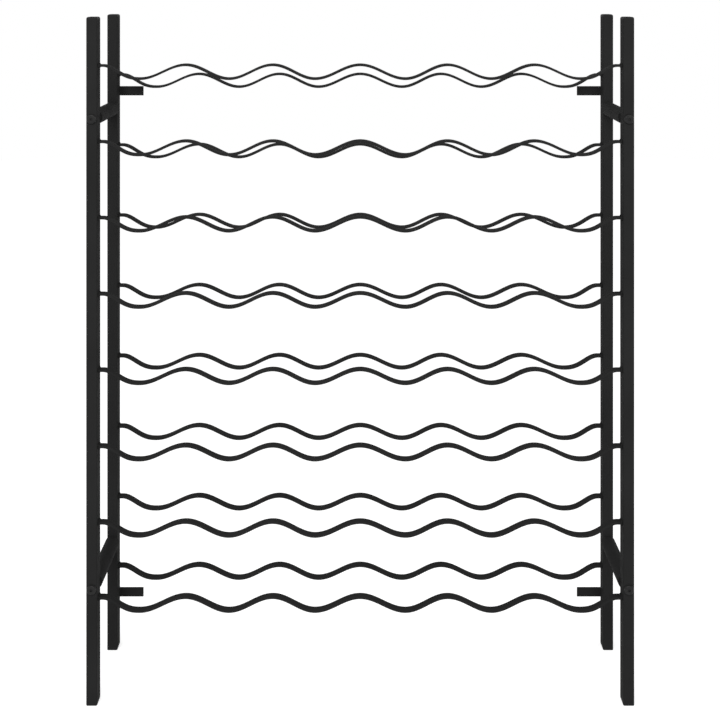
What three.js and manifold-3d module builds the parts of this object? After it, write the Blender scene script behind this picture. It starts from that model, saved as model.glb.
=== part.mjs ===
// Wine rack for 48 bottles: eight levels of six cradles.
//
// Two steel ladders, one in front and one behind, each have two upright tubes with eight wavy
// flat bars welded between them. Four round side rails join the ladders, with a bolt through each
// upright into the threaded insert in the end of each rail. A bottle lies with its body in a
// dip of a rear bar and its neck in the same dip of the front bar, so every rear bar sits
// lower than its front bar by the difference between the two radii.
//
// Millimetres, +Z up, front towards -Y. The origin is on the floor, at the footprint's centre.

import * as THREE from "three";
import { mergeVertices } from "three/addons/utils/BufferGeometryUtils.js";
import Module from "manifold-3d";

// ---------------------------------------------------------------- driving dimensions

const height = 1000;
const width = 796; // over the uprights: the round rails are thicker and stand out 3 mm more
const depth = 180; // over the faces of the uprights
const gap = 0.3; // between pieces that touch

const post = { width: 16, depth: 25, wall: 1.2, radius: 2, innerRadius: 1 };
const rail = { radius: 11, wall: 1.2, heights: { lower: 168.9, upper: 851.6 } };

const bar = { thickness: 3.5, depth: 13, dip: 20.2, stepsPerHalfWave: 5 };
const barTurns = [0, 66, 127.5, 191.5, 254.5, 321.5, 375]; // crest, dip, crest, ... from the middle out
const lastRiseLag = 1.3; // the last half wave leaves its dip slowly and meets the upright steeply
const barEndDrop = 1; // the flat end that is welded to the upright is this far below the crests
const levels = { count: 8, lowest: 152, second: 261.4, pitch: 111.1 }; // undersides of the front crests
const rearDrop = 24.2; // body radius less neck radius of a bottle

const bolt = { radius: 3, length: 40, chamfer: 0.5 };
const boltHead = { radius: 7, rim: 1, height: 3, flat: 4.6, socket: 4, socketDepth: 1.8 };
const insertLength = 18;
const cap = { height: 3.6, topRound: 2.8, footRound: 0.7, plug: 12, plugWall: 2 };
const wallTab = { height: 14.8, thickness: 1.2, reach: 345, heights: { lower: 79.9, upper: 877.7 } };

// ---------------------------------------------------------------- worked out from them

const postX = width / 2 - post.width / 2;
const postY = depth / 2 - post.depth / 2;
const innerX = width / 2 - post.width; // inner faces of the uprights
const holeRadius = bolt.radius + gap;
const railLength = depth - 2 * post.depth - 2 * gap;

const sides = [
  { name: "left", x: -1 },
  { name: "right", x: 1 },
];
const frames = [
  { name: "front", y: -1 },
  { name: "rear", y: 1 },
];

// ---------------------------------------------------------------- finishes

const blackSteel = { color: 0x1c1c1d, roughness: 0.5, metalness: 0.3 };
const blackPlastic = { color: 0x161617, roughness: 0.55, metalness: 0 };
const boltBlack = { color: 0x191919, roughness: 0.4, metalness: 0.7 };

// ---------------------------------------------------------------- joining and cutting

const wasm = await Module();
wasm.setup();

function solid(geometry) {
  const bare = geometry.clone();
  bare.deleteAttribute("normal");
  bare.deleteAttribute("uv");
  const merged = mergeVertices(bare, 1e-4);
  const vertProperties = new Float32Array(merged.attributes.position.array);
  const triVerts = new Uint32Array(merged.index.array);
  return new wasm.Manifold(new wasm.Mesh({ numProp: 3, vertProperties, triVerts }));
}

function surface(body) {
  const mesh = body.getMesh();
  const geometry = new THREE.BufferGeometry();
  geometry.setAttribute("position", new THREE.BufferAttribute(mesh.vertProperties, 3));
  geometry.setIndex(new THREE.BufferAttribute(mesh.triVerts, 1));
  geometry.computeVertexNormals();
  return geometry;
}

// ---------------------------------------------------------------- shapes

function trace(path, sizeX, sizeY, radius) {
  const cornerX = sizeX / 2 - radius;
  const cornerY = sizeY / 2 - radius;
  path.absarc(cornerX, cornerY, radius, 0, Math.PI / 2);
  path.absarc(-cornerX, cornerY, radius, Math.PI / 2, Math.PI);
  path.absarc(-cornerX, -cornerY, radius, Math.PI, 1.5 * Math.PI);
  path.absarc(cornerX, -cornerY, radius, 1.5 * Math.PI, 2 * Math.PI);
  path.closePath();
  return path;
}

// A tube with open ends that stands on z = 0.
function tube(sizeX, sizeY, { wall, radius, innerRadius }, length) {
  const outline = trace(new THREE.Shape(), sizeX, sizeY, radius);
  outline.holes.push(trace(new THREE.Path(), sizeX - 2 * wall, sizeY - 2 * wall, innerRadius));
  return new THREE.ExtrudeGeometry(outline, { depth: length, bevelEnabled: false, curveSegments: 3 });
}

function rod(radius, length) {
  return new THREE.CylinderGeometry(radius, radius, length, 12);
}

// ---------------------------------------------------------------- uprights

const postLength = height - 2 * cap.height - 2 * gap;
const postFoot = cap.height + gap;

// One hole at each rail goes through the front wall and the back wall.
function postGeometry() {
  let body = solid(tube(post.width, post.depth, post, postLength));
  for (const z of Object.values(rail.heights)) {
    const drill = rod(holeRadius, 2 * post.depth);
    drill.translate(0, 0, z - postFoot);
    body = body.subtract(solid(drill));
  }
  return surface(body);
}

// ---------------------------------------------------------------- wavy bars

// Centre line of the right half: half waves between the turns, then the flat end.
function barCentreLine() {
  const points = [];
  const levelAt = (turn) => {
    if (turn % 2 === 1) return -bar.dip;
    return turn === barTurns.length - 1 ? -barEndDrop : 0;
  };
  for (let turn = 0; turn < barTurns.length - 1; turn += 1) {
    const [start, end] = [barTurns[turn], barTurns[turn + 1]];
    const [from, to] = [levelAt(turn), levelAt(turn + 1)];
    const lag = turn === barTurns.length - 2 ? lastRiseLag : 1;
    for (let step = 0; step < bar.stepsPerHalfWave; step += 1) {
      const part = step / bar.stepsPerHalfWave;
      const swing = (1 - Math.cos(Math.PI * part ** lag)) / 2;
      points.push(new THREE.Vector2(start + (end - start) * part, from + (to - from) * swing));
    }
  }
  points.push(new THREE.Vector2(barTurns.at(-1), -barEndDrop));
  points.push(new THREE.Vector2(innerX - gap, -barEndDrop));
  const mirrored = points.slice(1).reverse().map((p) => new THREE.Vector2(-p.x, p.y));
  return [...mirrored, ...points];
}

// The line moved sideways, square to itself, for one face of the bar. The ends stay upright.
function barFace(line, offset) {
  return line.map((point, i) => {
    if (i === 0 || i === line.length - 1) return new THREE.Vector2(point.x, point.y + offset);
    const along = line[i + 1].clone().sub(line[i - 1]).normalize();
    return new THREE.Vector2(point.x - along.y * offset, point.y + along.x * offset);
  });
}

// z = 0 is the underside of the crests.
function barGeometry() {
  const line = barCentreLine();
  const half = bar.thickness / 2;
  const outline = new THREE.Shape([...barFace(line, -half), ...barFace(line, half).reverse()]);
  const geometry = new THREE.ExtrudeGeometry(outline, { depth: bar.depth, bevelEnabled: false });
  geometry.translate(0, half, -bar.depth / 2);
  return geometry.rotateX(Math.PI / 2);
}

// ---------------------------------------------------------------- side rails

// A round sleeve with its axis along Y, its middle at the origin.
function sleeve(innerRadius, outerRadius, length) {
  const profile = [
    new THREE.Vector2(innerRadius, -length / 2),
    new THREE.Vector2(outerRadius, -length / 2),
    new THREE.Vector2(outerRadius, length / 2),
    new THREE.Vector2(innerRadius, length / 2),
    new THREE.Vector2(innerRadius, -length / 2),
  ];
  return surface(solid(new THREE.LatheGeometry(profile, 24)));
}

// ---------------------------------------------------------------- bolts

// The head's underside is at y = 0, the shank runs towards +Y and the socket opens to -Y.
function boltGeometry() {
  const domeWidth = boltHead.radius - boltHead.flat;
  const domeHeight = boltHead.height - boltHead.rim;
  const dome = new THREE.EllipseCurve(boltHead.flat, boltHead.rim, domeWidth, domeHeight, 0, Math.PI / 2);
  const profile = [
    new THREE.Vector2(0, -bolt.length),
    new THREE.Vector2(bolt.radius - bolt.chamfer, -bolt.length),
    new THREE.Vector2(bolt.radius, -bolt.length + bolt.chamfer),
    new THREE.Vector2(bolt.radius, 0),
    new THREE.Vector2(boltHead.radius, 0),
    ...dome.getPoints(3),
    new THREE.Vector2(0, boltHead.height),
  ];
  const body = solid(new THREE.LatheGeometry(profile, 12));
  const corner = boltHead.socket / Math.sqrt(3); // a hexagon's corner from its width across flats
  const key = new THREE.CylinderGeometry(corner, corner, 2 * boltHead.socketDepth, 6);
  key.translate(0, boltHead.height, 0);
  return surface(body.subtract(solid(key))).rotateX(Math.PI);
}

// ---------------------------------------------------------------- caps

// A lid the size of the upright with one rounded end, and a hollow plug that goes into the tube.
// The lid stands on z = 0 and the plug hangs below it.
function capGeometry(round) {
  const corner = Math.max(post.radius - round, 0.2);
  const lidOutline = trace(new THREE.Shape(), post.width - 2 * round, post.depth - 2 * round, corner);
  const lid = new THREE.ExtrudeGeometry(lidOutline, {
    depth: cap.height - round,
    bevelThickness: round,
    bevelSize: round,
    bevelSegments: 2,
    curveSegments: 2,
  });
  const above = new THREE.BoxGeometry(2 * post.width, 2 * post.depth, 4 * cap.height);
  above.translate(0, 0, 2 * cap.height);
  const plugX = post.width - 2 * post.wall - 2 * gap;
  const plugY = post.depth - 2 * post.wall - 2 * gap;
  const plugTop = cap.height / 2;
  const plug = new THREE.BoxGeometry(plugX, plugY, cap.plug + plugTop);
  plug.translate(0, 0, (plugTop - cap.plug) / 2);
  const hollow = new THREE.BoxGeometry(plugX - 2 * cap.plugWall, plugY - 2 * cap.plugWall, 2 * cap.plug);
  hollow.translate(0, 0, -cap.plug);
  return surface(solid(lid).intersect(solid(above)).add(solid(plug)).subtract(solid(hollow)));
}

// ---------------------------------------------------------------- the rack

const rack = new THREE.Group();

function place(name, geometry, finish, x, y, z) {
  const mesh = new THREE.Mesh(geometry, new THREE.MeshStandardMaterial(finish));
  mesh.name = name;
  mesh.position.set(x, y, z);
  rack.add(mesh);
  return mesh;
}

const postShape = postGeometry();
const barShape = barGeometry();
const railShape = sleeve(rail.radius - rail.wall, rail.radius, railLength);
const insertShape = sleeve(holeRadius, rail.radius - rail.wall - gap, insertLength);
const boltShape = boltGeometry();
const topCapShape = capGeometry(cap.topRound);
const footCapShape = capGeometry(cap.footRound);

for (const frame of frames) {
  for (let level = 1; level <= levels.count; level += 1) {
    const frontHeight = level === 1 ? levels.lowest : levels.second + (level - 2) * levels.pitch;
    const barHeight = frame.name === "front" ? frontHeight : frontHeight - rearDrop;
    place(`${frame.name}_wave_${level}`, barShape, blackSteel, 0, frame.y * postY, barHeight);
  }
}

for (const side of sides) {
  for (const frame of frames) {
    const where = `${frame.name}_${side.name}`;
    const x = side.x * postX;
    const y = frame.y * postY;
    place(`post_${where}`, postShape, blackSteel, x, y, postFoot);
    place(`top_cap_${where}`, topCapShape, blackPlastic, x, y, height - cap.height);
    const foot = place(`foot_cap_${where}`, footCapShape, blackPlastic, x, y, cap.height);
    foot.rotation.x = Math.PI;
  }

  for (const [level, z] of Object.entries(rail.heights)) {
    const x = side.x * postX;
    place(`side_rail_${level}_${side.name}`, railShape, blackSteel, x, 0, z);
    for (const frame of frames) {
      const where = `${level}_${frame.name}_${side.name}`;
      const insertY = railLength / 2 - insertLength / 2;
      place(`rail_insert_${where}`, insertShape, blackSteel, x, frame.y * insertY, z);
      const screw = place(`bolt_${where}`, boltShape, boltBlack, x, frame.y * (depth / 2 + gap), z);
      screw.rotation.z = frame.name === "rear" ? Math.PI : 0;
    }
  }

  for (const [level, z] of Object.entries(wallTab.heights)) {
    const length = width / 2 - post.radius - wallTab.reach;
    const plate = new THREE.BoxGeometry(length, wallTab.thickness, wallTab.height);
    const y = depth / 2 + gap + wallTab.thickness / 2;
    place(`wall_tab_${level}_${side.name}`, plate, blackSteel, side.x * (wallTab.reach + length / 2), y, z);
  }
}

export default rack;
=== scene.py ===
# %% [markdown]
# # A steel wine rack
# The rack is two black steel ladders, one in front of the other. Each ladder has two uprights of
# rectangular tube, with eight wavy flat bars welded between them. Four short round rails bolt the
# ladders together. A bottle lies with its body in a dip of a rear bar and its neck in a dip of the
# front bar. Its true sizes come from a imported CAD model, the frame, and this lesson gives every
# visible piece its finer shape and its finish. The frame's own objects are never moved.

# %% Load the frame
import math

import bmesh
import bpy
from mathutils import Matrix, Vector


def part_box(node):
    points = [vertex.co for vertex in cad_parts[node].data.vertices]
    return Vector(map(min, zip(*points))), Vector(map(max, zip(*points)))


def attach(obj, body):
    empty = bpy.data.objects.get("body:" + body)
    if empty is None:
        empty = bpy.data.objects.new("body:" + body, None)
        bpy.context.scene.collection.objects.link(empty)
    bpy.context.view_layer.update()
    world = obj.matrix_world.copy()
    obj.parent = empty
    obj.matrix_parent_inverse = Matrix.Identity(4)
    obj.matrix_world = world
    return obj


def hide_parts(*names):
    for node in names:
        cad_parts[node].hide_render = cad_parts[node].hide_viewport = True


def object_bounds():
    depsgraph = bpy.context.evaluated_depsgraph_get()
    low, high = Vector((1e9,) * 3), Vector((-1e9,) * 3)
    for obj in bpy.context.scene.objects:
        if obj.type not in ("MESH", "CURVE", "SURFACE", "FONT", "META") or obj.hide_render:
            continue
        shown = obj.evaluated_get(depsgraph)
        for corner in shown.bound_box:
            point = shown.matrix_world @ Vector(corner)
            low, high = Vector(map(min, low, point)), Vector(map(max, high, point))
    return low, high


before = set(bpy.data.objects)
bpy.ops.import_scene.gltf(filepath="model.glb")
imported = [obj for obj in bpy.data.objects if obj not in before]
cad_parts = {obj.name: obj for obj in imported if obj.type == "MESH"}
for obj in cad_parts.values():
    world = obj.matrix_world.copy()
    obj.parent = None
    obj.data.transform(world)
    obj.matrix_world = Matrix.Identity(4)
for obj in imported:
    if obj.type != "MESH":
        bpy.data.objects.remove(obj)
cad_box = [list(corner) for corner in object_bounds()]
print("CAD box in metres:", cad_box)

# %% [markdown]
# ## The camera
# The lens stands a little higher than the rack and looks straight ahead, so that the uprights stay
# parallel in the picture. A tilted camera would make them lean. The rack is then lower than the
# middle of the view, so the lens is shifted down, as on an architect's camera.

# %% The camera
front_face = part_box("post_front_left")[0].y
lens_distance = 1.857    # from the front faces of the uprights
lens_height = 1.0486     # above the floor

camera_data = bpy.data.cameras.new("camera")
camera_data.sensor_width = 36
camera_data.lens = 63.98
camera_data.shift_x = -0.0003
camera_data.shift_y = -0.523
camera = bpy.data.objects.new("camera", camera_data)
camera.location = (0, front_face - lens_distance, lens_height)
camera.rotation_euler = (math.radians(90), 0, 0)
bpy.context.scene.collection.objects.link(camera)
bpy.context.scene.camera = camera
print("The lens is at", [round(place, 3) for place in camera.location])

# %% [markdown]
# ## Names and places
# Every place is read from the frame. Left and right are -X and +X, front and rear are -Y and +Y.
# Pieces that touch are 0.3 mm apart in the CAD model, so that each stays a solid of its own. Here
# they are made longer, until only a hair of air is left, so that no line of light shows between.

# %% Corners of the rack
MM = 0.001
cad_gap = 0.3 * MM
hair = 0.02 * MM
closing = cad_gap - hair    # how much further a piece reaches here than in the CAD model
across = {"left": -1, "right": 1}
along = {"front": -1, "rear": 1}
corners = [(ladder, side) for ladder in along for side in across]
rails = [(level, side) for level in ("lower", "upper") for side in across]


def middle_and_size(node):
    low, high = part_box(node)
    return (low + high) / 2, high - low


rack_height = cad_box[1][2] - cad_box[0][2]
print("The rack is", round(rack_height / MM), "mm high and has", len(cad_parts), "pieces")

# %% [markdown]
# ## From a bmesh to a finished piece
# Every piece is shaped as a bmesh, Blender's editable mesh, with its place in the rack already in
# its points, because a finished object sits at the origin. One function does what all pieces need:
# it merges doubles, turns the faces outwards, marks the sharp edges, gives the finish, ties the
# piece to the rack's one body, and hides the plain CAD piece that it stands for.

# %% Finish a piece and measure it
merge_distance = 0.001 * MM
sharp_angle = math.radians(50)


def make_piece(name, bm, finish, stands_for=()):
    """Makes the object, shades it, and ties it to the rack's one body."""
    bmesh.ops.remove_doubles(bm, verts=bm.verts, dist=merge_distance)
    bmesh.ops.recalc_face_normals(bm, faces=bm.faces)
    open_edges = sum(not e.is_manifold for e in bm.edges)
    if open_edges:
        print(name, "has", open_edges, "open edges")
    for face in bm.faces:
        face.smooth = True
    mesh = bpy.data.meshes.new(name)
    bm.to_mesh(mesh)
    bm.free()
    mesh.set_sharp_from_angle(angle=sharp_angle)
    mesh.materials.append(finish)
    piece = bpy.data.objects.new(name, mesh)
    bpy.context.scene.collection.objects.link(piece)
    shading = piece.modifiers.new("flat faces stay flat", "WEIGHTED_NORMAL")
    shading.keep_sharp = True
    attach(piece, "root")
    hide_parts(*stands_for)
    return piece


def measure(title, pieces):
    """Prints how many pieces were made, with the size and the faces of the first."""
    points = [point.co for point in pieces[0].data.vertices]
    spans = [(min(p[axis] for p in points), max(p[axis] for p in points)) for axis in range(3)]
    size = [round((high - low) / MM, 1) for low, high in spans]
    faces = len(pieces[0].data.polygons)
    print(f"{title}: {len(pieces)} made. The first measures {size} mm and has {faces} faces.")


# %% [markdown]
# ## Finishes
# The rack is powder coated: dry paint is melted onto the steel and sets as a tough, dry black
# skin. Up close the skin is faintly dimpled like orange peel, and its gloss drifts a little from
# place to place. Every pattern is made from noise on Object coordinates, so it is the same size in
# millimetres on each piece, and no picture files are needed.


# %% A new finish and its patterns
def new_finish(name, colour, roughness, metallic=0.0, specular=0.5):
    finish = bpy.data.materials.new(name)
    finish.use_nodes = True
    shader = finish.node_tree.nodes["Principled BSDF"]
    shader.inputs["Base Color"].default_value = (*colour, 1)
    shader.inputs["Roughness"].default_value = roughness
    shader.inputs["Metallic"].default_value = metallic
    shader.inputs["Specular IOR Level"].default_value = specular
    finish.diffuse_color = (*colour, 1)
    print("Finish", name, "starts from the colour", colour)
    return finish, shader


def noise(finish, size, detail=2.0):
    """The value of a noise whose lumps are about that many millimetres wide."""
    nodes, links = finish.node_tree.nodes, finish.node_tree.links
    place = nodes.new("ShaderNodeTexCoord")
    pattern = nodes.new("ShaderNodeTexNoise")
    pattern.inputs["Scale"].default_value = 1 / (size * MM)
    pattern.inputs["Detail"].default_value = detail
    links.new(place.outputs["Object"], pattern.inputs["Vector"])
    return pattern.outputs["Fac"]


# %% Patterns that change gloss, colour and relief
usual_low = 0.3     # most of a noise lies above this value
usual_high = 0.7    # and below this one


def vary_number(finish, socket, pattern, low, high):
    """Drives a socket from low to high by the usual range of a noise."""
    nodes, links = finish.node_tree.nodes, finish.node_tree.links
    spread = nodes.new("ShaderNodeMapRange")
    spread.inputs["From Min"].default_value = usual_low
    spread.inputs["From Max"].default_value = usual_high
    spread.inputs["To Min"].default_value = low
    spread.inputs["To Max"].default_value = high
    links.new(pattern, spread.inputs["Value"])
    links.new(spread.outputs["Result"], socket)


def vary_colour(finish, socket, pattern, dark, light):
    nodes, links = finish.node_tree.nodes, finish.node_tree.links
    blend = nodes.new("ShaderNodeMix")
    blend.data_type = "RGBA"
    for name, colour in (("A", dark), ("B", light)):
        end = next(s for s in blend.inputs if s.type == "RGBA" and s.name == name)
        end.default_value = (*colour, 1)
    vary_number(finish, blend.inputs["Factor"], pattern, 0, 1)
    links.new(next(s for s in blend.outputs if s.type == "RGBA"), socket)


def raise_bumps(finish, shader, layers):
    """Stacks bumps. Each layer is a pattern and its height in millimetres."""
    nodes, links = finish.node_tree.nodes, finish.node_tree.links
    below = None
    for pattern, height in layers:
        bump = nodes.new("ShaderNodeBump")
        bump.inputs["Strength"].default_value = 1
        bump.inputs["Distance"].default_value = height * MM
        links.new(pattern, bump.inputs["Height"])
        if below:
            links.new(below, bump.inputs["Normal"])
        below = bump.outputs["Normal"]
    links.new(below, shader.inputs["Normal"])


print("Patterns use the noise between", usual_low, "and", usual_high)


# %% Powder coat
def powder_coat():
    finish, shader = new_finish("powder_coat_black", (0.021, 0.021, 0.021), 0.6, specular=0.005)
    drift = noise(finish, 90, detail=3)
    vary_colour(finish, shader.inputs["Base Color"], drift, (0.019,) * 3, (0.0235,) * 3)
    vary_number(finish, shader.inputs["Roughness"], noise(finish, 14, detail=4), 0.54, 0.66)
    orange_peel = (noise(finish, 2.2), 0.02)
    grain = (noise(finish, 0.35, detail=3), 0.006)
    raise_bumps(finish, shader, [orange_peel, grain])
    return finish


coat = powder_coat()

# %% [markdown]
# The caps are moulded plastic with the fine, dry grain of a spark-eroded mould. The bolts are
# blackened steel with a thin film of oil, so they are darker and shine more than the coat.


# %% Plastic and blackened bolts
def moulded_plastic():
    finish, shader = new_finish("cap_plastic", (0.021, 0.021, 0.021), 0.52, specular=0.02)
    vary_number(finish, shader.inputs["Roughness"], noise(finish, 8), 0.46, 0.58)
    vary_colour(finish, shader.inputs["Base Color"], noise(finish, 30), (0.019,) * 3, (0.023,) * 3)
    mould_grain = (noise(finish, 0.4, detail=3), 0.012)
    raise_bumps(finish, shader, [mould_grain])
    return finish


def blackened_steel():
    finish, shader = new_finish("bolt_black", (0.012, 0.012, 0.0125), 0.38, specular=0.16)
    vary_number(finish, shader.inputs["Roughness"], noise(finish, 1.5, detail=4), 0.32, 0.46)
    oiled = (0.009, 0.009, 0.0095)
    dry = (0.016, 0.016, 0.0155)
    vary_colour(finish, shader.inputs["Base Color"], noise(finish, 4, detail=4), oiled, dry)
    grain = (noise(finish, 0.5, detail=4), 0.008)
    raise_bumps(finish, shader, [grain])
    return finish


plastic = moulded_plastic()
bolt_finish = blackened_steel()

# %% [markdown]
# ## The uprights
# An upright is a rolled and welded rectangular tube, so its long edges are round and it is hollow.
# It could be an extruded outline, but a box with four bevelled edges needs no points worked out by
# hand. Its ends are opened, solidify gives the wall, and a hole is drilled through the front and
# the back wall at each rail, for its bolt.

# %% Boxes, rounded edges and turning
nearly_parallel = 0.99    # the least cosine between two directions that count as one


def box_solid(size, centre=(0, 0, 0)):
    """A box of that size, in metres, round that centre."""
    bm = bmesh.new()
    bmesh.ops.create_cube(bm, size=1)
    bmesh.ops.scale(bm, vec=size, verts=bm.verts)
    bmesh.ops.translate(bm, vec=centre, verts=bm.verts)
    return bm


def long_edges(bm):
    """The edges that run along Z."""
    runs = {e: (e.verts[1].co - e.verts[0].co).normalized() for e in bm.edges}
    return [e for e, run in runs.items() if abs(run.z) > nearly_parallel]


def round_edges(bm, edges, radius, segments):
    bmesh.ops.bevel(
        bm, geom=edges, offset=radius, offset_type="OFFSET", segments=segments,
        profile=0.5, affect="EDGES", material=-1, clamp_overlap=True,
    )


def move(bm, place=(0, 0, 0), turn=0, axis="Z"):
    """Turns the whole shape about the origin, in degrees, and then moves it."""
    turning = Matrix.Rotation(math.radians(turn), 3, axis)
    bmesh.ops.rotate(bm, verts=bm.verts, cent=(0, 0, 0), matrix=turning)
    bmesh.ops.translate(bm, verts=bm.verts, vec=place)
    return bm


trial = box_solid((16 * MM, 25 * MM, 100 * MM))
print("A box has", len(long_edges(trial)), "edges along Z")
trial.free()

# %% Rectangular tube
tube_wall = 1.2 * MM
corner_radius = 2 * MM
round_steps = 7    # in a quarter of a circle


def tube(size):
    """A tube with open ends along Z, round the origin."""
    bm = box_solid(size)
    round_edges(bm, long_edges(bm), corner_radius, round_steps)
    ends = [f for f in bm.faces if abs(f.normal.z) > nearly_parallel]
    bmesh.ops.delete(bm, geom=ends, context="FACES_ONLY")
    bmesh.ops.solidify(bm, geom=bm.faces[:], thickness=tube_wall)
    return bm


trial = tube(middle_and_size("post_front_left")[1])
print("A tube without holes has", len(trial.faces), "faces")
trial.free()


# %% Cutting one solid out of another
def temporary_object(bm):
    mesh = bpy.data.meshes.new("temporary")
    bm.to_mesh(mesh)
    bm.free()
    made = bpy.data.objects.new("temporary", mesh)
    bpy.context.scene.collection.objects.link(made)
    return made


def cut_away(body_bm, tool_bm):
    """What is left of a body once the tool's shape is cut out of it, as a new bmesh."""
    body, tool = temporary_object(body_bm), temporary_object(tool_bm)
    cut = body.modifiers.new("cut", "BOOLEAN")
    cut.operation = "DIFFERENCE"
    cut.solver = "EXACT"
    cut.object = tool
    bpy.context.view_layer.update()
    left = body.evaluated_get(bpy.context.evaluated_depsgraph_get())
    bm = bmesh.new()
    bm.from_mesh(left.to_mesh())
    left.to_mesh_clear()
    for used in (body, tool):
        mesh = used.data
        bpy.data.objects.remove(used)
        bpy.data.meshes.remove(mesh)
    return bm


trial = cut_away(box_solid((20 * MM, 20 * MM, 20 * MM)), box_solid((8 * MM, 8 * MM, 40 * MM)))
print("A block with a square hole has", len(trial.faces), "faces")
trial.free()

# %% Drill and place the four uprights
shank_radius = 3 * MM
hole_radius = shank_radius + cad_gap
hole_sides = 40


def rod(radius, length, sides, closed=True):
    """A rod along Z, round the origin. One that isn't closed has no end faces."""
    bm = bmesh.new()
    bmesh.ops.create_cone(
        bm, cap_ends=closed, segments=sides, radius1=radius, radius2=radius, depth=length
    )
    return bm


def drill(centre, length):
    """A round cutter along Y."""
    return move(rod(hole_radius, length, hole_sides), centre, 90, "X")


def upright(node, side):
    middle, size = middle_and_size(node)
    bm = move(tube(size + Vector((0, 0, 2 * closing))), middle)
    for level in ("lower", "upper"):
        rail_middle = middle_and_size(f"side_rail_{level}_{side}")[0]
        bm = cut_away(bm, drill((rail_middle.x, middle.y, rail_middle.z), 2 * size.y))
    return bm


uprights = []
for ladder, side in corners:
    node = f"post_{ladder}_{side}"
    uprights.append(
        make_piece(f"upright_{ladder}_{side}", upright(node, side), coat, [node])
    )
measure("Uprights", uprights)

# %% [markdown]
# ## The wavy bars
# Each bar is flat steel bar, bent in a die so that it has six dips. A long strip of small faces is
# bent by moving each point to the height of the wave. Solidify makes the strip as thick as the bar,
# square to the wave, so that the bar doesn't get thin on its slopes, as an outline moved up and
# down would. A small bevel gives the rolled edges of the bar. The last half wave at each end is
# steeper, and ends in a short flat that meets the upright.

# %% The line of the wave
bar_thickness = 3.5 * MM
bar_dip = middle_and_size("front_wave_1")[1].z - bar_thickness
end_drop = 1 * MM
last_rise_lag = 1.3    # the last half wave leaves its dip slowly and meets the upright steeply
crests_and_dips = (0, 66, 127.5, 191.5, 254.5, 321.5, 375)    # from the middle out
turns = [distance * MM for distance in crests_and_dips]


def turn_level(number):
    """Height of the bar at its crests and dips, under its highest point."""
    if number % 2:
        return -bar_dip
    return -end_drop if number == len(turns) - 1 else 0


def wave_level(x):
    """Half of a cosine joins each crest to the next dip. Both sides of the middle are alike."""
    x = abs(x)
    if x >= turns[-1]:
        return -end_drop
    number = max(i for i, turn in enumerate(turns) if turn <= x)
    share = (x - turns[number]) / (turns[number + 1] - turns[number])
    if number == len(turns) - 2:
        share = share ** last_rise_lag
    swing = (1 - math.cos(math.pi * share)) / 2
    return turn_level(number) + (turn_level(number + 1) - turn_level(number)) * swing


print("The dips are", round(bar_dip / MM, 1), "mm deep and the bar is", bar_thickness / MM, "mm thick")

# %% Bend, thicken and round the bars
wave_steps = 306
rolled_radius = 0.6 * MM
rolled_steps = 3
least_corner = math.radians(60)
levels = range(1, 9)


def sharp_edges(bm):
    """The edges where two faces meet at a corner."""
    return [e for e in bm.edges if e.is_manifold and e.calc_face_angle() > least_corner]


def wavy_bar(node):
    middle, size = middle_and_size(node)
    bm = bmesh.new()
    bmesh.ops.create_grid(bm, x_segments=wave_steps, y_segments=1, size=0.5)
    bmesh.ops.scale(bm, verts=bm.verts, vec=(size.x + 2 * closing, size.y, 1))
    for point in bm.verts:
        point.co.z = wave_level(point.co.x)
    bm.normal_update()
    for point in bm.verts:
        point.co += point.normal * bar_thickness / 2
    bmesh.ops.solidify(bm, geom=bm.faces[:], thickness=bar_thickness)
    bm.normal_update()
    round_edges(bm, sharp_edges(bm), rolled_radius, rolled_steps)
    crest = middle.z + size.z / 2 - bar_thickness / 2
    return move(bm, (middle.x, middle.y, crest))


bars = []
for ladder in along:
    for level in levels:
        node = f"{ladder}_wave_{level}"
        bars.append(
            make_piece(f"{ladder}_bar_{level}", wavy_bar(node), coat, [node])
        )
measure("Wavy bars", bars)

# %% [markdown]
# ## The welds
# A bead of weld runs along the top and the underside of each bar where it meets the upright. A bead
# is laid in small overlapping pools, which leave ripples. It grows here from a disc that is
# extruded ring by ring, with each ring a little wider or narrower than the last.


# %% Growing a shape ring by ring
def step_out(bm, face, reach, widen=(1, 1)):
    """Extrudes one face by a vector and widens its far end. Returns the new far face."""
    first = all(e.is_boundary for e in face.edges)
    grown = bmesh.ops.extrude_face_region(bm, geom=[face])["geom"]
    tip = next(g for g in grown if isinstance(g, bmesh.types.BMFace))
    bmesh.ops.translate(bm, verts=tip.verts, vec=reach)
    space = Matrix.Translation(-tip.calc_center_median())
    bmesh.ops.scale(bm, verts=tip.verts, vec=(widen[0], widen[1], 1), space=space)
    if face.is_valid and not first:
        bmesh.ops.delete(bm, geom=[face], context="FACES_ONLY")
    return tip


ripple_pitch = 1.3 * MM
ripple_depth = 0.09    # as a share of the bead's radius
rings_per_ripple = 4
bead_sides = 10
bluntness = 0.06    # keeps the tapered ends from closing to a point


def bead(length, radius):
    """A rippled round bead along Z from the origin, with tapered ends."""
    bm = bmesh.new()
    bmesh.ops.create_circle(bm, cap_ends=True, segments=bead_sides, radius=radius)
    bm.faces.ensure_lookup_table()
    tip = bm.faces[0]
    steps = round(length / ripple_pitch) * rings_per_ripple

    def ring_size(step):
        end = min(step, steps - step) / rings_per_ripple
        taper = math.sqrt(max(1 - (1 - min(end, 1)) ** 2, bluntness))
        return taper * (1 + ripple_depth * math.sin(math.tau * step / rings_per_ripple))

    bmesh.ops.scale(bm, verts=bm.verts, vec=(ring_size(0), ring_size(0), 1))
    for step in range(steps):
        widen = ring_size(step + 1) / ring_size(step)
        tip = step_out(bm, tip, (0, 0, length / steps), (widen, widen))
    return bm


trial = bead(25 * MM, ripple_pitch)
print("A bead 25 mm long has", len(trial.verts), "points")
trial.free()

# %% Weld the bars to the uprights
bead_radius = 1.3 * MM
bead_stand_off = 0.4 * MM    # how far the middle of a bead is from both surfaces


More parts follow.
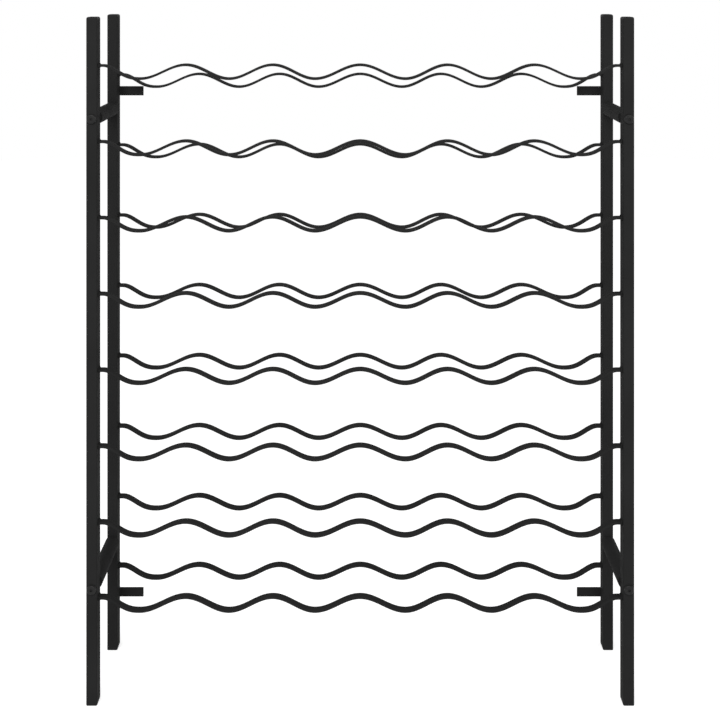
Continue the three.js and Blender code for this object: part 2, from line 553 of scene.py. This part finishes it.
def join(parts):
    """One bmesh that holds all the parts."""
    whole = bmesh.new()
    for part in parts:
        mesh = bpy.data.meshes.new("part")
        part.to_mesh(mesh)
        part.free()
        whole.from_mesh(mesh)
        bpy.data.meshes.remove(mesh)
    return whole


def bar_welds(ladder, side):
    parts = []
    for level in levels:
        middle, size = middle_and_size(f"{ladder}_wave_{level}")
        end = across[side] * (size.x / 2 - bead_stand_off)
        centre_line = middle.z + size.z / 2 - bar_thickness / 2 - end_drop
        for up in (1, -1):
            z = centre_line + up * (bar_thickness / 2 + bead_stand_off)
            parts.append(move(bead(size.y, bead_radius), (end, middle.y + size.y / 2, z), 90, "X"))
    return join(parts)


welds = []
for ladder, side in corners:
    welds.append(
        make_piece(f"bar_welds_{ladder}_{side}", bar_welds(ladder, side), coat)
    )
measure("Strings of bar welds", welds)

# %% [markdown]
# ## The side rails
# A rail is a short piece of round tube between a front and a rear upright, a little thicker than the
# uprights are wide. A spun outline would do, but a cone operator without end faces, made thick
# inwards by solidify, needs only a radius and a length. A threaded insert is welded flush into
# each end and coated with it: the inserts hardly show, so they keep the frame's own shape and only
# take the powder coat.

# %% Side rails
rail_sides = 72


def round_tube(radius, length):
    """A round tube with open ends along Z, round the origin."""
    bm = rod(radius, length, rail_sides, closed=False)
    bmesh.ops.solidify(bm, geom=bm.faces[:], thickness=tube_wall)
    return bm


side_rails = []
for level, side in rails:
    node = f"side_rail_{level}_{side}"
    middle, size = middle_and_size(node)
    bm = move(round_tube(size.z / 2, size.y + 2 * closing), middle, 90, "X")
    side_rails.append(make_piece(f"rail_{level}_{side}", bm, coat, [node]))
    for ladder in along:
        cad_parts[f"rail_insert_{level}_{ladder}_{side}"].data.materials[0] = coat
measure("Side rails", side_rails)

# %% [markdown]
# ## The bolts
# A furniture bolt goes through each upright into the end of a rail. Its head is a low disc with a
# round shoulder, which a bevel gives. The shank is extruded out of the underside of the head, so
# head and shank are one solid, and a six-sided rod cuts the hexagon socket.

# %% One bolt
level_margin = 0.01 * MM


def faces_towards(bm, direction):
    """The faces that look along that direction and lie furthest along it."""
    direction = Vector(direction)
    looking = [f for f in bm.faces if f.normal.dot(direction) > nearly_parallel]
    furthest = max(f.calc_center_median().dot(direction) for f in looking)
    return [f for f in looking if f.calc_center_median().dot(direction) > furthest - level_margin]


head_sides = 48
shoulder_radius = 2.1 * MM
socket_width = 4 * MM    # across the flats
socket_corner = socket_width / math.sqrt(3)
socket_depth = 1.8 * MM
tip_length = 0.5 * MM
tip_narrowing = 0.84


def bolt(head_radius, head_height, shank_length):
    """The head stands on z = 0 and points up, and the shank hangs below."""
    bm = move(rod(head_radius, head_height, head_sides), (0, 0, head_height / 2))
    shoulder = faces_towards(bm, (0, 0, 1))[0].edges[:]
    round_edges(bm, shoulder, shoulder_radius, round_steps)
    narrow = shank_radius / head_radius
    root = step_out(bm, faces_towards(bm, (0, 0, -1))[0], (0, 0, 0), (narrow, narrow))
    end = step_out(bm, root, (0, 0, tip_length - shank_length))
    step_out(bm, end, (0, 0, -tip_length), (tip_narrowing, tip_narrowing))
    hexagon = rod(socket_corner, 2 * socket_depth, 6)
    return cut_away(bm, move(hexagon, (0, 0, head_height)))


print("The hexagon socket is", round(socket_width / MM, 1), "mm across its flats")

# %% Eight bolts
bolts = []
for level, side in rails:
    for ladder in along:
        node = f"bolt_{level}_{ladder}_{side}"
        middle, size = middle_and_size(node)
        post_middle, post_size = middle_and_size(f"post_{ladder}_{side}")
        seat = post_middle.y + along[ladder] * (post_size.y / 2 + hair)
        head_height = abs(middle.y + along[ladder] * size.y / 2 - seat)
        bm = bolt(size.x / 2, head_height, size.y - head_height)
        move(bm, (middle.x, seat, middle.z), -90 * along[ladder], "X")
        bolts.append(
            make_piece(f"screw_{level}_{ladder}_{side}", bm, bolt_finish, [node])
        )
measure("Bolts", bolts)

# %% [markdown]
# ## The caps
# Plastic caps close both ends of each upright. The lid is as wide as the tube, with a round rim, and
# a hollow plug with two grip ribs goes down into the tube. The rim grows in rings that rise and
# narrow along a quarter of a circle, which keeps it even round the corners. The foot cap is the
# same moulding with a nearly square rim, upside down, so that the rack stands on a wide flat.

# %% Cap moulding
lid_height = 3.6 * MM
top_rim = 2.8 * MM
foot_rim = 0.7 * MM
rim_rings = 6
rib = 0.2 * MM
plug_wall = 2 * MM

# How far down, as a share of the plug's depth, and how far in from the last step
plug_steps = (
    (0, tube_wall + cad_gap), (0.2, 0),
    (0.02, -rib), (0.13, 0), (0.02, rib), (0.2, 0),
    (0.02, -rib), (0.13, 0), (0.02, rib), (0.26, rib),
    (0, plug_wall), (-0.9, 0),
)


def step_in(bm, face, sides, rise, by):
    """Extrudes a face along Z and moves its edges in. Returns the far face and its sides."""
    left = [side - 2 * by for side in sides]
    tip = step_out(bm, face, (0, 0, rise), [new / old for new, old in zip(left, sides)])
    return tip, left


def cap(size, rim):
    """The lid stands on z = 0 with its rim up, and the plug hangs below."""
    straight = lid_height - rim
    bm = box_solid((size.x, size.y, straight), (0, 0, straight / 2))
    round_edges(bm, long_edges(bm), corner_radius, round_steps)
    tip, sides = faces_towards(bm, (0, 0, 1))[0], size.xy
    for ring in range(rim_rings):
        here, there = (math.tau / 4 * step / rim_rings for step in (ring, ring + 1))
        rise = rim * (math.sin(there) - math.sin(here))
        tip, sides = step_in(bm, tip, sides, rise, rim * (math.cos(here) - math.cos(there)))
    tip, sides = faces_towards(bm, (0, 0, -1))[0], size.xy
    plug_depth = size.z - lid_height
    for share, by in plug_steps:
        tip, sides = step_in(bm, tip, sides, -plug_depth * share, by)
    return bm


print("The lid is", round(lid_height / MM, 1), "mm high")

# %% Eight caps
caps = []
for ladder, side in corners:
    for kind, rim, turn in (("top", top_rim, 0), ("foot", foot_rim, 180)):
        node = f"{kind}_cap_{ladder}_{side}"
        middle, size = middle_and_size(node)
        lid_base = middle.z + (size.z / 2 - lid_height) * (1 if kind == "top" else -1)
        bm = move(cap(size, rim), (middle.x, middle.y, lid_base), turn, "X")
        caps.append(make_piece(f"{kind}_plug_{ladder}_{side}", bm, plastic, [node]))
measure("Caps", caps)

# %% [markdown]
# ## The wall tabs
# Four thin plates behind the rear uprights let the rack be held to a wall so that it can't tip.
# Each is a cut strip with barely rounded edges, so a box and a small bevel are enough. It is welded
# along its top and its bottom.

# %% Wall tabs and their welds
tab_edge_radius = 0.25 * MM
tab_edge_steps = 2
tab_bead_radius = 1.2 * MM
bead_margin = 0.5 * MM


def tab_welds(side, middle, size):
    """A bead along the top and one along the underside of a tab, where it lies on its upright."""
    post_middle, post_size = middle_and_size(f"post_rear_{side}")
    post_inside = post_middle.x - across[side] * post_size.x / 2
    tab_end = middle.x + across[side] * size.x / 2
    x = min(tab_end, post_inside) + bead_margin
    y = post_middle.y + post_size.y / 2
    run = abs(tab_end - post_inside) - 2 * bead_margin
    heights = [middle.z + up * size.z / 2 for up in (1, -1)]
    return join([move(bead(run, tab_bead_radius), (x, y, z), 90, "Y") for z in heights])


tabs = []
for level, side in rails:
    node = f"wall_tab_{level}_{side}"
    middle, size = middle_and_size(node)
    bm = box_solid(size + Vector((0, closing, 0)), middle - Vector((0, closing / 2, 0)))
    round_edges(bm, bm.edges[:], tab_edge_radius, tab_edge_steps)
    tabs.append(make_piece(f"tab_{level}_{side}", bm, coat, [node]))
    bm = tab_welds(side, middle, size)
    make_piece(f"tab_welds_{level}_{side}", bm, coat)
measure("Wall tabs", tabs)

# %% [markdown]
# ## The studio
# The rack stands on a pale disc of floor under broad, soft light. The floor really is lit, so it
# keeps the rack's shadow. To the camera it also glows a little, which lifts it to clean white
# without more light on the rack. Past its edge the camera sees the white of the world.


# %% What the camera sees
def seen_directly(tree):
    """1 for what the camera, a reflection or a clear material sees, and 0 for plain light."""
    path = tree.nodes.new("ShaderNodeLightPath")
    total = path.outputs["Is Camera Ray"]
    for ray in ("Is Glossy Ray", "Is Transmission Ray"):
        either = tree.nodes.new("ShaderNodeMath")
        either.operation = "MAXIMUM"
        tree.links.new(total, either.inputs[0])
        tree.links.new(path.outputs[ray], either.inputs[1])
        total = either.outputs["Value"]
    return total


def times(tree, value, factor):
    product = tree.nodes.new("ShaderNodeMath")
    product.operation = "MULTIPLY"
    tree.links.new(value, product.inputs[0])
    product.inputs[1].default_value = factor
    return product.outputs["Value"]


# %% Floor
floor_radius = 6.0
floor_sides = 96
floor_grey = 0.8
floor_glow = 0.58


def floor_paint():
    paint = bpy.data.materials.new("studio_floor")
    paint.use_nodes = True
    tree = paint.node_tree
    shader = tree.nodes["Principled BSDF"]
    shader.inputs["Base Color"].default_value = (floor_grey, floor_grey, floor_grey, 1)
    shader.inputs["Roughness"].default_value = 1
    shader.inputs["Specular IOR Level"].default_value = 0
    shader.inputs["Emission Color"].default_value = (1, 1, 1, 1)
    tree.links.new(times(tree, seen_directly(tree), floor_glow), shader.inputs["Emission Strength"])
    return paint


floor_bm = bmesh.new()
bmesh.ops.create_circle(floor_bm, cap_ends=True, segments=floor_sides, radius=floor_radius)
floor_mesh = bpy.data.meshes.new("floor")
floor_bm.to_mesh(floor_mesh)
floor_bm.free()
floor_mesh.materials.append(floor_paint())
floor = bpy.data.objects.new("floor", floor_mesh)
bpy.context.scene.collection.objects.link(floor)
print("The floor is a disc", 2 * floor_radius, "m wide")

# %% Sky light
sky_light = 0.55    # on the rack, while the camera sees 1, which is white
world = bpy.data.worlds.new("studio")
bpy.context.scene.world = world
world.use_nodes = True
sky = world.node_tree.nodes["Background"]
sky.inputs["Color"].default_value = (1, 1, 1, 1)
lift = world.node_tree.nodes.new("ShaderNodeMath")
lift.operation = "ADD"
lift.inputs[1].default_value = sky_light
seen_white = times(world.node_tree, seen_directly(world.node_tree), 1 - sky_light)
world.node_tree.links.new(seen_white, lift.inputs[0])
world.node_tree.links.new(lift.outputs["Value"], sky.inputs["Strength"])
print("The sky lights the rack at", sky_light)


# %% Lamps
def softbox(name, place, aim, size, power):
    lamp = bpy.data.lights.new(name, "AREA")
    lamp.shape = "SQUARE"
    lamp.size = size
    lamp.energy = power
    box = bpy.data.objects.new(name, lamp)
    box.location = place
    box.rotation_euler = (Vector(aim) - Vector(place)).to_track_quat("-Z", "Y").to_euler()
    bpy.context.scene.collection.objects.link(box)
    print(name, "gives", power, "W from", size, "m square")


softbox("key_light", place=(-0.8, -2.6, 2.6), aim=(0, 0, 0.6), size=2.0, power=60)
softbox("fill_light", place=(1.6, -2.2, 1.6), aim=(0, 0, 0.5), size=1.6, power=15)

# %% Picture settings
bpy.context.scene.view_settings.view_transform = "Standard"
print("Colours are shown as", bpy.context.scene.view_settings.view_transform)
